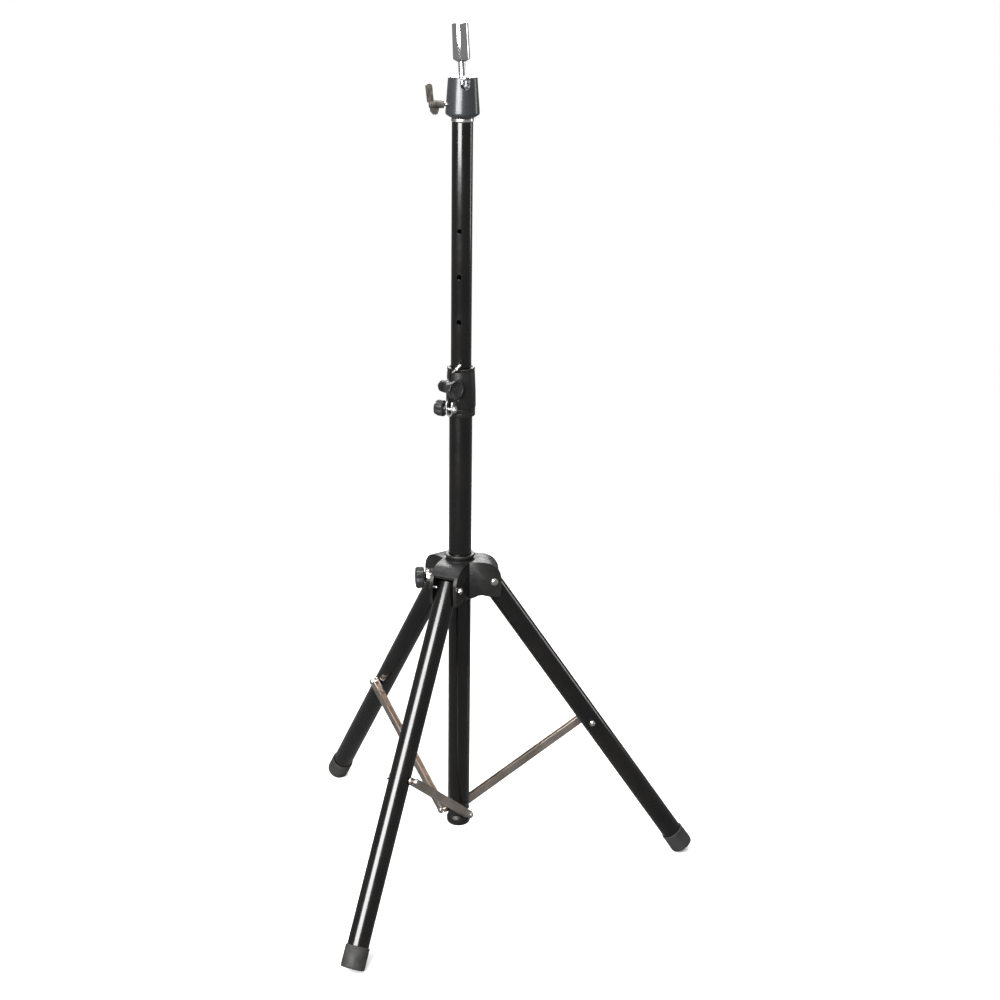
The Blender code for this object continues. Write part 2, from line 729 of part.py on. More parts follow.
def hub():
    slide = empty("hub_slide", Matrix.Translation((0, 0, PIVOT_Z)))
    place("hub_body", hub_body(), DARK_PLASTIC, parent=slide)
    low = HUB_TOP + GAP
    ring = [
        (20.5 * MM, low),
        (20.5 * MM, low + 2 * MM),
        (22.6 * MM, low + 2.8 * MM),
        (23 * MM, low + 3.6 * MM),
        (23 * MM, low + 6 * MM),
        (22.2 * MM, low + 7 * MM),
        (SLIDE_BORE, low + 7 * MM),
        (SLIDE_BORE, low),
    ]
    add("hub_ring", turned(ring, closed=True), DARK_PLASTIC, parent=slide)
    hub_screw(slide)
    face = HUB_HALF_WIDTH + GAP
    shaft = rod(SCREW_RADIUS, -face - 1 * MM, face + 5.6 * MM)
    bolt = shaped("hub_bolt", shaft, [join(hexagon(5.8 * MM, -face - 4 * MM, -face))])
    far_nut = nut("hub_nut", 5.8 * MM, SCREW_HOLE, face, face + 4.4 * MM)
    for i, azimuth in enumerate(LEG_AZIMUTHS, 1):
        across = sideways(azimuth, PIVOT_RADIUS, 0)
        place(f"hub_bolt_{i}", bolt, ZINC, across, slide)
        place(f"hub_nut_{i}", far_nut, ZINC, across, slide)
    return slide


# Legs and braces


def leg_meshes():
    low = -LEG_LENGTH
    axis = Matrix.Translation((-LEG_OFFSET, 0, 0))
    inner = LEG_RADIUS - LEG_WALL
    base = moved(tube(LEG_RADIUS, inner, low + CAP_FLOOR + GAP, LEG_TOP), axis)
    pivot_hole = rod(SCREW_HOLE, -25 * MM, 25 * MM)
    bolt_hole = rod(BOLT_HOLE, -25 * MM, 25 * MM)
    bolt_frame = sideways(0, -LEG_OFFSET, -LEG_BOLT_DOWN)
    steps = [
        cut(moved(pivot_hole, sideways(0, 0, 0))),
        cut(moved(bolt_hole, bolt_frame)),
    ]
    leg = shaped("leg_tube", base, steps)
    bore = LEG_RADIUS + GAP
    rim = low + CAP_LENGTH
    cap = [(0, low)]
    cap += arc((CAP_RADIUS - CAP_EDGE, low + CAP_EDGE), CAP_EDGE, -90, 0, 6)
    cap += [
        (CAP_RADIUS, rim - 0.8 * MM),
        (CAP_RADIUS - 0.6 * MM, rim),
        (bore, rim),
        (bore, low + CAP_FLOOR),
        (0, low + CAP_FLOOR),
    ]
    below_floor = block((250 * MM, 450 * MM), (-40 * MM, 40 * MM), (-30 * MM, 0))
    below_floor.transform(leg_frame(0).inverted())
    cap = shaped("foot_cap", moved(turned(cap), axis), [cut(below_floor)])
    # the bolt a brace hangs on goes through the leg, with its nut on the far side
    face = LEG_RADIUS + GAP
    shaft = moved(rod(BOLT_RADIUS, -face - 6.5 * MM, face - 0.4 * MM), bolt_frame)
    bolt_nut = moved(hexagon(5 * MM, -face - 4.2 * MM, -face), bolt_frame)
    bolt = shaped("leg_bolt", shaft, [join(bolt_nut)])
    return leg, cap, bolt


def brace_mesh():
    """A channel bent from sheet, open towards the mast, with a pin hole at each end."""
    side_view = arc((0, 0), BRACE_HALF, 90, 270, 12)
    side_view += arc((BRACE_LENGTH, 0), BRACE_HALF, -90, 90, 12)
    ends = -9 * MM, BRACE_LENGTH + 9 * MM
    between = BRACE_INNER + BRACE_SHEET, BRACE_OUTER - BRACE_SHEET
    web_start = 13 * MM
    steps = [
        cut(block(ends, between, (BRACE_SHEET - BRACE_HALF, 15 * MM))),
        cut(block((ends[0], web_start), between, (-15 * MM, 15 * MM))),
    ]
    for x in 0, BRACE_LENGTH:
        hole = rod(BOLT_HOLE, 10 * MM, 40 * MM)
        steps.append(cut(moved(hole, sideways(0, x, 0))))
    return shaped("brace", upright(side_view, BRACE_INNER, BRACE_OUTER), steps)


def rivet_solid():
    """The shouldered end of the leg's bolt, which turns in the brace."""
    head_at = BRACE_OUTER + GAP
    profile = [
        (0, LEG_RADIUS + GAP),
        (BOLT_RADIUS, LEG_RADIUS + GAP),
        (BOLT_RADIUS, head_at),
        (5 * MM, head_at),
        (5 * MM, head_at + 1.5 * MM),
        (3.6 * MM, head_at + 2.6 * MM),
        (0, head_at + 2.6 * MM),
    ]
    return moved(turned(profile, SMALL_ROUND), sideways(0, BRACE_LENGTH, 0))


def legs_and_braces(hub_slide):
    leg, cap, bolt = leg_meshes()
    brace = brace_mesh()
    rivet = mesh_of("brace_rivet", rivet_solid())
    to_hub = Matrix.Translation((0, 0, -PIVOT_Z))
    for i, azimuth in enumerate(LEG_AZIMUTHS, 1):
        fold = empty(f"leg_fold_{i}", to_hub @ leg_frame(azimuth), hub_slide)
        place(f"leg_tube_{i}", leg, BLACK_ENAMEL, parent=fold)
        place(f"foot_cap_{i}", cap, BLACK_RUBBER, parent=fold)
        place(f"leg_bolt_{i}", bolt, ZINC, parent=fold)
        swing = empty(f"brace_fold_{i}", brace_frame(azimuth))
        place(f"brace_{i}", brace, NICKEL_STEEL, parent=swing)
        place(f"brace_rivet_{i}", rivet, ZINC, parent=swing)


def main():
    clear_scene()
    lower_mast()
    collar()
    clamp_screw()
    band()
    lock_pin()
    mast_slide = empty("mast_slide", Matrix.Identity(4))
    upper_mast(mast_slide)
    head(mast_slide)
    lever(mast_slide)
    post(mast_slide)
    legs_and_braces(hub())


main()
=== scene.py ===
"""The looks of the tripod stand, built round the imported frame. Metres, +Z up."""

import json
import math

import bmesh
import bpy
from mathutils import Matrix, Vector


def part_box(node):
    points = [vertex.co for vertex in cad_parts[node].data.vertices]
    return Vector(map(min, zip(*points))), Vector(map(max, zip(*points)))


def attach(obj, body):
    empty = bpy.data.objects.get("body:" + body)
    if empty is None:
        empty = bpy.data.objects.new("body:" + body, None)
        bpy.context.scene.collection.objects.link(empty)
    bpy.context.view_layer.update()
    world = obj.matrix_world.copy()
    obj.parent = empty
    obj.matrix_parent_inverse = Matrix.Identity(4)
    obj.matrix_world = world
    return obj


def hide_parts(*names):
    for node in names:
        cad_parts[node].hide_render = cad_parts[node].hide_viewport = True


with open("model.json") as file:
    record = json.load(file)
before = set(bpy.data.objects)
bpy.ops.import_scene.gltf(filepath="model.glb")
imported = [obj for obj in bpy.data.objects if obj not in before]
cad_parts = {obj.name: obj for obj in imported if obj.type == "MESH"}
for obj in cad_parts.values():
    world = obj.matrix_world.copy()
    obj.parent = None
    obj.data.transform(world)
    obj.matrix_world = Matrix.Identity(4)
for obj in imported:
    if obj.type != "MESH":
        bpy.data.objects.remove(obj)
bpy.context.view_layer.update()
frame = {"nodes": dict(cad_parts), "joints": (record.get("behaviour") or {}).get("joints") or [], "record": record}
NODES = frame["nodes"]
BODY_OF = {
    node: body
    for body, nodes in frame["record"]["behaviour"]["bodies"].items()
    for node in nodes
}
SLOT_OF = {
    part["node"]: part["material_slot"] for part in frame["record"]["subparts"]
}
JOINTS = {joint["name"]: joint for joint in frame["joints"]}

# Sizes that the CAD fixes, in millimetres

MM = 0.001
GAP = 0.3  # between pieces that touch
LOWER_TUBE = 17.5, 16.3  # outer and inner radius
UPPER_TUBE = 15.5, 14
LEG_TUBE = 16.5, 15
SPLAY = math.radians(34)
PIVOT_Z = 497
LEG_OFFSET = 6  # a leg's axis runs this far inside its pivot
LEG_TOP = 10  # the tube's end above the pivot
LEG_END_Z = 8.6  # centre of the foot cap's end face
LEG_LENGTH = (PIVOT_Z - LEG_OFFSET * math.sin(SPLAY) - LEG_END_Z) / math.cos(SPLAY)
LEG_BOLT_DOWN = 298  # along the leg from its pivot
CAP_LENGTH = 34
CAP_FLOOR = 6  # the rubber under the tube's end
HUB_SIDE = 22.5  # half an arm's width
BRACE_OUTER = 28.5  # the brace's outer side, from its leg's plane
PIN_Z = 841.2
PIN_PITCH = 68.2
PIN_HOLE = 3.5
LOCK_HOLES = range(-2, 4)  # in pitches from the one the pin is level with
BALL_RADIUS = 12
NECK_RADIUS = 5.2
NECK_TOP = 42.7  # along the post from the ball's centre
POST_LEAN = math.radians(3)

# Screws in millimetres: the radius of the shank, of its hole and of a nut, and the pitch

M5, M5_HOLE, M5_HEX, M5_PITCH = 2.5, 2.8, 4.9, 0.8
M6, M6_HOLE, M6_HEX, M6_PITCH = 3, 3.3, 5.8, 1


# Materials

NOISE_LOW, NOISE_HIGH = 0.35, 0.65  # the middle range, which holds most of a noise's values
NOISE_ROUGHNESS = 0.55  # how strong each finer layer of a noise is


class Shader:
    """A Principled material whose detail comes from procedural nodes in object space."""

    def __init__(self, name, **settings):
        self.material = bpy.data.materials.new(name)
        self.material.use_nodes = True
        self.tree = self.material.node_tree
        self.bsdf = self.tree.nodes["Principled BSDF"]
        self.place = self.add("ShaderNodeTexCoord").outputs["Object"]
        for key, value in settings.items():
            self.bsdf.inputs[key].default_value = value

    def add(self, kind, **settings):
        node = self.tree.nodes.new(kind)
        for key, value in settings.items():
            setattr(node, key, value)
        return node

    def link(self, source, target):
        self.tree.links.new(source, target)

    def noise(self, scale, detail):
        """Soft patches, scale of them to the metre."""
        node = self.add("ShaderNodeTexNoise")
        node.inputs["Scale"].default_value = scale
        node.inputs["Detail"].default_value = detail
        node.inputs["Roughness"].default_value = NOISE_ROUGHNESS
        self.link(self.place, node.inputs["Vector"])
        return node.outputs["Fac"]

    def cells(self, scale):
        """A pebbled grain, scale of its cells to the metre."""
        node = self.add("ShaderNodeTexVoronoi")
        node.inputs["Scale"].default_value = scale
        self.link(self.place, node.inputs["Vector"])
        return node.outputs["Distance"]

    def spread(self, source, low, high, start=NOISE_LOW, end=NOISE_HIGH):
        """Maps start to end, or else a noise's middle range, onto low to high."""
        node = self.add("ShaderNodeMapRange")
        node.inputs["From Min"].default_value = start
        node.inputs["From Max"].default_value = end
        node.inputs["To Min"].default_value = low
        node.inputs["To Max"].default_value = high
        self.link(source, node.inputs["Value"])
        return node.outputs["Result"]

    def colours(self, source, low, high):
        """The base colour, from low to high over a noise's middle range."""
        node = self.add("ShaderNodeValToRGB")
        node.color_ramp.elements[0].position = NOISE_LOW
        node.color_ramp.elements[1].position = NOISE_HIGH
        node.color_ramp.elements[0].color = (*low, 1)
        node.color_ramp.elements[1].color = (*high, 1)
        self.link(source, node.inputs["Fac"])
        self.link(node.outputs["Color"], self.bsdf.inputs["Base Color"])

    def rough(self, source, low, high):
        """The roughness, from low to high over a noise's middle range."""
        self.link(self.spread(source, low, high), self.bsdf.inputs["Roughness"])

    def bump(self, *layers):
        """Fine relief. Each layer is (height, depth in metres), and the material is handed back."""
        before = None
        for height, depth in layers:
            node = self.add("ShaderNodeBump")
            node.inputs["Strength"].default_value = 1.0
            node.inputs["Distance"].default_value = depth
            self.link(height, node.inputs["Height"])
            if before:
                self.link(before, node.inputs["Normal"])
            before = node.outputs["Normal"]
        self.link(before, self.bsdf.inputs["Normal"])
        return self.material


def enamel():
    """Gloss black stove enamel: a faint orange peel and a little handling haze."""
    s = Shader("enamel", **{"Coat Weight": 0.25, "Coat Roughness": 0.08})
    s.colours(s.noise(18, 6), (0.0014, 0.0013, 0.0013), (0.003, 0.0026, 0.0023))
    s.rough(s.noise(35, 8), 0.17, 0.24)
    return s.bump((s.noise(420, 2), 0.000006), (s.noise(60, 3), 0.000015))


def moulding(name, dark, light, roughness):
    """Spark-eroded moulded plastic, with a fine grain."""
    s = Shader(name, **{"Specular IOR Level": 0.32})
    s.colours(s.noise(30, 8), dark, light)
    s.rough(s.noise(70, 6), roughness - 0.05, roughness + 0.07)
    return s.bump((s.cells(1900), 0.00006), (s.noise(45, 4), 0.00012))


def rubber():
    """Dull black rubber, a little dusty."""
    s = Shader("rubber", **{"Specular IOR Level": 0.35})
    s.colours(s.noise(45, 8), (0.011, 0.011, 0.011), (0.024, 0.023, 0.022))
    s.rough(s.noise(60, 6), 0.55, 0.75)
    return s.bump((s.noise(1500, 3), 0.00008), (s.noise(70, 4), 0.0002))


def nylon():
    """Off-white nylon, inside the collar and the upper tube."""
    s = Shader("nylon", **{"Subsurface Weight": 0.1, "Subsurface Scale": 0.002})
    s.colours(s.noise(40, 5), (0.62, 0.6, 0.55), (0.72, 0.71, 0.67))
    s.rough(s.noise(80, 5), 0.35, 0.5)
    return s.bump((s.noise(900, 3), 0.00004))


def graphite():
    """Glossy metallic graphite enamel over a casting."""
    s = Shader("graphite", Metallic=0.35, **{"Coat Weight": 0.35, "Coat Roughness": 0.14})
    s.colours(s.noise(2600, 2), (0.017, 0.018, 0.02), (0.036, 0.038, 0.043))
    s.rough(s.noise(50, 6), 0.28, 0.34)
    return s.bump((s.noise(150, 3), 0.00002))


def metal(name, dark, light, low, high, scale, depth=0.00001):
    """Bare or plated metal: its roughness, low to high, follows the polishing marks."""
    s = Shader(name, Metallic=1.0)
    s.colours(s.noise(24, 6), dark, light)
    marks = s.noise(scale, 9)
    s.rough(marks, low, high)
    return s.bump((marks, depth), (s.noise(80, 3), 2 * depth))


def cast():
    """A dark, uneven casting, left as it came from the mould."""
    s = Shader("cast", Metallic=0.75)
    s.colours(s.noise(90, 8), (0.06, 0.052, 0.045), (0.16, 0.145, 0.13))
    s.rough(s.noise(140, 7), 0.28, 0.48)
    return s.bump((s.noise(900, 4), 0.00012), (s.noise(160, 3), 0.0002))


MATERIALS = {
    "black enamel": enamel(),
    "dark plastic": moulding("plastic", (0.0056, 0.0053, 0.0051), (0.0098, 0.0094, 0.0092), 0.3),
    "knob plastic": moulding("knob", (0.009, 0.009, 0.0095), (0.015, 0.015, 0.016), 0.3),
    "black rubber": rubber(),
    "white nylon": nylon(),
    "graphite enamel": graphite(),
    "chrome": metal("chrome", (0.8, 0.8, 0.82), (0.86, 0.86, 0.87), 0.05, 0.08, 45, 0.000002),
    "bright zinc": metal("zinc", (0.55, 0.54, 0.52), (0.76, 0.75, 0.72), 0.2, 0.36, 160),
    "nickel steel": metal("nickel", (0.44, 0.37, 0.32), (0.66, 0.58, 0.52), 0.26, 0.36, 40),
    "cast metal": cast(),
}


# Pieces


SHARP_ANGLE = math.radians(35)  # an edge that turns more stays sharp
ROUNDED_ANGLE = math.radians(30)  # an edge that turns more is rounded
FLAT_ANGLE = math.radians(0.6)  # faces that turn less are one face
SAME_PLACE = 2e-6  # metres


def smooth(mesh):
    """Smooth shading, but for the edges that turn sharply."""
    mesh.shade_smooth()
    mesh.set_sharp_from_angle(angle=SHARP_ANGLE)


def piece(name, mesh, *nodes):
    """A detailed piece that stands for CAD nodes of one body and one finish."""
    obj = bpy.data.objects.new(name, mesh)
    bpy.context.collection.objects.link(obj)
    mesh.materials.clear()
    mesh.materials.append(MATERIALS[SLOT_OF[nodes[0]]])
    smooth(mesh)
    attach(obj, BODY_OF[nodes[0]])
    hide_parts(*nodes)
    return obj


def softened(node, width):
    """A CAD node with its edges rounded: the shape is the node's own."""
    bm = bmesh.new()
    bm.from_mesh(NODES[node].data)
    bmesh.ops.remove_doubles(bm, verts=bm.verts, dist=SAME_PLACE)
    bmesh.ops.dissolve_limit(bm, angle_limit=FLAT_ANGLE, verts=bm.verts, edges=bm.edges)
    mesh = bpy.data.meshes.new(f"soft_{node}")
    bm.to_mesh(mesh)
    bm.free()
    obj = piece(f"soft_{node}", mesh, node)
    bevel = obj.modifiers.new("edges", "BEVEL")
    bevel.width = width
    bevel.segments = 2
    bevel.limit_method = "ANGLE"
    bevel.angle_limit = ROUNDED_ANGLE
    bevel.use_clamp_overlap = True
    bevel.harden_normals = True


def finish_nodes():
    """The finish of each CAD node, for any that no piece stands for."""
    for node, obj in NODES.items():
        obj.data.materials.clear()
        obj.data.materials.append(MATERIALS[SLOT_OF[node]])


# Solids

TIP = 1e-7  # metres: a circle no wider than this is a single point
STRAIGHT = math.radians(172)  # a corner wider than this stays as it is
FILLET_SHARE = 0.42  # of a side, which a fillet may take at each end
FILLET_STEPS = 3


def new_mesh(name, bm):
    """The mesh of a solid, with its faces turned outwards."""
    bmesh.ops.recalc_face_normals(bm, faces=bm.faces)
    mesh = bpy.data.meshes.new(name)
    bm.to_mesh(mesh)
    bm.free()
    return mesh


def filleted(profile, radius, ring=False):
    """The profile with each of its corners rounded. Its ends stay, unless it is a ring."""
    points = [Vector(point[:2]) for point in profile]
    swells = [point[2] for point in profile]
    result = []
    for i, point in enumerate(points):
        if not ring and i in (0, len(points) - 1):
            result.append((*point, swells[i]))
            continue
        before = points[i - 1] - point
        after = points[(i + 1) % len(points)] - point
        if before.angle(after) > STRAIGHT:
            result.append((*point, swells[i]))
            continue
        reach = min(radius, FILLET_SHARE * before.length, FILLET_SHARE * after.length)
        start = point + before.normalized() * reach
        end = point + after.normalized() * reach
        for step in range(FILLET_STEPS + 1):
            t = step / FILLET_STEPS
            corner = (1 - t) ** 2 * start + 2 * t * (1 - t) * point + t * t * end
            result.append((*corner, swells[i]))
    return result


def circle(bm, z, steps, out_at):
    """A ring of vertices round Z, out_at(angle) from it. All lengths are metres."""
    ring = []
    for step in range(steps):
        angle = 2 * math.pi * step / steps
        out = out_at(angle)
        ring.append(bm.verts.new((out * math.cos(angle), out * math.sin(angle), z)))
    return ring


def skin(bm, rings, closed=False):
    """Faces between each ring and the next, and from the last to the first if it is closed."""
    pairs = list(zip(rings, rings[1:]))
    if closed:
        pairs.append((rings[-1], rings[0]))
    for below, above in pairs:
        for step in range(max(len(below), len(above))):
            corners = [
                below[step % len(below)],
                below[(step + 1) % len(below)],
                above[(step + 1) % len(above)],
                above[step % len(above)],
            ]
            bm.faces.new(list(dict.fromkeys(corners)))


def wave(angle, waves, sharp):
    """1 at each crest and -1 in each hollow. Sharp above 1 narrows the hollows."""
    return 1 - 2 * (0.5 - 0.5 * math.cos(waves * angle)) ** sharp


def lathe(profile, fillet, ring=False, steps=96, waves=0, sharp=1.0):
    """A solid turned about Z, in millimetres, from (radius, z) or (radius, z, swell) points.

    The fillet rounds the profile's corners. A ring's profile is closed. The swell is how far
    the circle stands out at each wave's crest.
    """
    scaled = [[value * MM for value in (*point, 0)[:3]] for point in profile]
    if fillet:
        scaled = filleted(scaled, fillet * MM, ring)
    bm = bmesh.new()
    rings = []
    for radius, z, swell in scaled:
        count = steps if radius > TIP else 1
        rings.append(circle(bm, z, count, lambda a: radius + swell * wave(a, waves, sharp)))
    skin(bm, rings, ring)
    return bm


THREAD_STEPS = 36  # round the screw
THREAD_ROWS = 8  # to each pitch
THREAD_DEPTH = 0.3  # of the pitch
THREAD_FLANK = 1.6  # how fast a flank falls away from the crest
CHAMFER = 0.35  # mm off the radius at a screw's high end
CHAMFER_LENGTH = 0.5
RUN_OUT = 0.6  # mm over which the thread grows shallower to that end
SHALLOWEST = 0.4  # of its depth, at that end


def threaded(radius, low, high, pitch, plain=0.0):
    """A screw's shank with a real helix from low + plain to high, all in millimetres."""
    depth = THREAD_DEPTH * pitch
    bm = bmesh.new()
    rows = []
    count = int((high - low) / pitch * THREAD_ROWS)
    for i in range(count + 1):
        z = low + (high - low) * i / count
        left = high - z
        grown = min(1, max(0, (z - low - plain) / pitch), max(0, left / RUN_OUT) + SHALLOWEST)
        end = CHAMFER * max(0, 1 - left / CHAMFER_LENGTH)
        row = []
        for step in range(THREAD_STEPS):
            share = step / THREAD_STEPS
            phase = (z / pitch - share) % 1
            cut = depth * (1 - abs(2 * phase - 1) * THREAD_FLANK)
            out = radius - max(0, min(depth, cut)) * grown - end
            turn = 2 * math.pi * share
            row.append(bm.verts.new((out * MM * math.cos(turn), out * MM * math.sin(turn), z * MM)))
        rows.append(row)
    skin(bm, rows)
    bm.faces.new(rows[0][::-1])
    bm.faces.new(rows[-1])
    return bm


def quarter(radius, rise):
    """Points from the crown of a dome, radius and height below it, out to its rim."""
    steps = 5
    angles = [math.pi / 2 * i / steps for i in range(1, steps + 1)]
    return [(radius * math.sin(a), rise * (1 - math.cos(a))) for a in angles]


HEX_STEPS = 72  # round a hexagon
HEX_INSET = 0.5  # mm from the flats in to the round face at each end
DOME_EDGE = 0.4  # mm from a dome's rim down to the hexagon's corners


def hexagonal(radius, low, high, chamfer, bore=0.0, dome=0.0):
    """A hexagon with its corners turned off, in millimetres. A dome rounds its low end."""
    sixth = math.pi / 3
    flat = radius * math.cos(sixth / 2)

    def side(angle, limit):
        from_middle = (angle + sixth / 2) % sixth - sixth / 2
        return min(limit, flat / math.cos(from_middle)) * MM

    face = flat - HEX_INSET
    profile = [(face, low), (radius, low + chamfer), (radius, high - chamfer), (face, high)]
    if dome:
        crown = [(r, low + down) for r, down in quarter(flat, dome)]
        profile = crown + [(radius, low + dome + DOME_EDGE), *profile[2:]]
    bm = bmesh.new()
    rings = [circle(bm, z * MM, HEX_STEPS, lambda a: side(a, limit)) for limit, z in profile]
    if bore:
        rings += [circle(bm, z * MM, HEX_STEPS, lambda a: bore * MM) for z in (high, low)]
    else:
        bm.faces.new(rings[0][::-1])
        bm.faces.new(rings[-1])
    skin(bm, rings, closed=bool(bore))
    return bm


def merged(*solids):
    """Several closed solids in one mesh."""
    result = bmesh.new()
    for solid in solids:
        mesh = bpy.data.meshes.new("part")
        solid.to_mesh(mesh)
        solid.free()
        result.from_mesh(mesh)
        bpy.data.meshes.remove(mesh)
    return result


def placed(bm, matrix):
    """The solid itself, moved."""
    bm.transform(matrix)
    return bm


def fitted(name, node, bm, matrix):
    """A solid put in its place, as the piece that stands for a node."""
    piece(name, new_mesh(name, placed(bm, matrix)), node)


# Frames, with their measures in millimetres


def horizontal(point, axis):
    """Local Z along a level axis from a point in metres, and local X straight up."""
    axis = Vector(axis).normalized()
    up = Vector((0, 0, 1))
    turn = Matrix((up, axis.cross(up), axis)).transposed().to_4x4()
    return Matrix.Translation(point) @ turn


def joint_frame(name, from_mast=False):
    """At a joint's point, or for a radial axis at the mast's axis at that height."""
    point = Vector(JOINTS[name]["pos_m"])
    if from_mast:
        point.x = point.y = 0
    return horizontal(point, JOINTS[name]["axis"])


def leg_frame(number):
    """At a leg's pivot: local Z up along the leg, local Y to its positive side."""
    joint = JOINTS[f"leg_fold_{number}"]
    side = Vector(joint["axis"]).normalized()
    up = Vector((0, 0, 1))
    up_leg = math.cos(SPLAY) * up - math.sin(SPLAY) * side.cross(up)
    turn = Matrix((side.cross(up_leg), side, up_leg)).transposed().to_4x4()
    return Matrix.Translation(joint["pos_m"]) @ turn


def shifted(x, y, z):
    """A move in millimetres."""
    return Matrix.Translation((x * MM, y * MM, z * MM))


TO_SIDE = Matrix.Rotation(-math.pi / 2, 4, "X")  # local Z to local Y
ON_LEG = shifted(-LEG_OFFSET, 0, 0)  # from a leg's pivot to its axis
AT_LEG_BOLT = shifted(-LEG_OFFSET, 0, -LEG_BOLT_DOWN) @ TO_SIDE


# Tubes and feet


def bored(name, bm, cutters):
    """The mesh of a solid with some others cut out of it."""
    objects = []
    for solid in [bm, *cutters]:
        obj = bpy.data.objects.new("solid", new_mesh("solid", solid))
        bpy.context.collection.objects.link(obj)
        objects.append(obj)
    for cutter in objects[1:]:
        step = objects[0].modifiers.new("hole", "BOOLEAN")
        step.object = cutter
        step.solver = "EXACT"
    graph = bpy.context.evaluated_depsgraph_get()
    result = bpy.data.meshes.new_from_object(objects[0].evaluated_get(graph))
    result.name = name
    for obj in objects:
        bpy.data.objects.remove(obj)
    return result


def raised(level, *points):
    """Profile points, each given by its radius and its height above a level."""
    return [(radius, level + up) for radius, up in points]


def rod(radius, low, high):
    """A plain cylinder, in millimetres."""
    return lathe([(0, low), (radius, low), (radius, high), (0, high)], 0, steps=48)


def countersunk(radius, wall):
    """A cutter through both walls of a tube, wider where it leaves them."""
    rim, past = 0.5, 2
    half = [(radius, wall - rim), (radius + rim + past, wall + past), (0, wall + past)]
    return lathe([(r, -z) for r, z in reversed(half)] + half, 0, steps=48)


def tube_solid(outer, inner, low, high):
    """A tube with its rims deburred, in millimetres."""
    profile = [(outer, low), (outer, high), (inner, high), (inner, low)]
    return lathe(profile, 0.4, ring=True, steps=128)


def mast_tubes():
    """The lower tube, and the upper one with its lock holes."""
    low, high = (corner[2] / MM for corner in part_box("lower_tube"))
    bm = tube_solid(*LOWER_TUBE, low, high)
    piece("tube_lower", new_mesh("tube_lower", bm), "lower_tube")
    low, high = (corner[2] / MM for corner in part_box("upper_tube"))
    pin_axis = JOINTS["lock_pin_slide"]["axis"]
    cutters = []
    for pitches in LOCK_HOLES:
        level = horizontal((0, 0, (PIN_Z + pitches * PIN_PITCH) * MM), pin_axis)
        cutters.append(placed(countersunk(PIN_HOLE, UPPER_TUBE[0]), level))
    mesh = bored("tube_upper", tube_solid(*UPPER_TUBE, low, high), cutters)
    piece("tube_upper", mesh, "upper_tube")


def leg_tube():
    """A leg's tube about its pivot, with its holes for the pivot and for the brace's bolt."""
    bm = placed(tube_solid(*LEG_TUBE, CAP_FLOOR + GAP - LEG_LENGTH, LEG_TOP), ON_LEG)
    reach = 30  # past both walls
    pivot_hole = placed(rod(M6_HOLE, -reach, reach), TO_SIDE)
    bolt_hole = placed(countersunk(M5_HOLE, LEG_TUBE[0]), AT_LEG_BOLT)
    return bored("tube_leg", bm, [pivot_hole, bolt_hole])


def foot_cap():
    """A rubber cap with a beaded rim, a moulded line and a ringed tread."""
    end = -LEG_LENGTH
    bore = LEG_TUBE[0] + GAP
    profile = raised(end, (0, 0), (4, 0), (4.6, 0.7), (6.4, 0.7), (7, 0))
    profile += raised(end, (10, 0), (10.6, 0.7), (12.4, 0.7), (13, 0))
    profile += raised(end, (15.9, 0), (17.6, 0.9), (18.3, 2.8), (18.5, 6))
    profile += raised(end, (18.4, 6.3), (18.4, 6.9), (18.5, 7.2))
    profile += raised(end + CAP_LENGTH, (18.3, -3.4), (18.5, -2.6), (18.5, -0.9), (18, 0), (bore, 0))
    profile += raised(end + CAP_FLOOR, (bore, 0), (0, 0))
    return placed(lathe(profile, 0.4), ON_LEG)


def on_floor(bm, matrix):
    """A cap in its place, worn flat where it stands."""
    placed(bm, matrix)
    for vert in bm.verts:
        vert.co.z = max(vert.co.z, 0)
    return bm


def legs():
    """The leg tubes and their caps."""
    tube_mesh = leg_tube()
    for i in (1, 2, 3):
        matrix = leg_frame(i)
        mesh = tube_mesh.copy()
        mesh.transform(matrix)
        piece(f"tube_leg_{i}", mesh, f"leg_tube_{i}")
        piece(f"cap_{i}", new_mesh(f"cap_{i}", on_floor(foot_cap(), matrix)), f"foot_cap_{i}")


# Screws and knobs


def studs():
    """Threaded shanks, each with its thread where it shows."""
    clamp, band = joint_frame("clamp_turn"), joint_frame("band_turn")
    hub, lever = joint_frame("hub_screw_turn", True), joint_frame("lever_turn", True)
    fitted("thread_clamp", "clamp_stud", threaded(M6, -14.5, 19.7, M6_PITCH), clamp)
    fitted("thread_band", "band_stud", threaded(M5, -11.5, 17.7, M5_PITCH), band)
    fitted("thread_hub", "hub_stud", threaded(M6, 18.1, 65.7, M6_PITCH), hub)
    fitted("thread_lever", "head_stud", threaded(M6, 8, 41.7, M6_PITCH), lever)


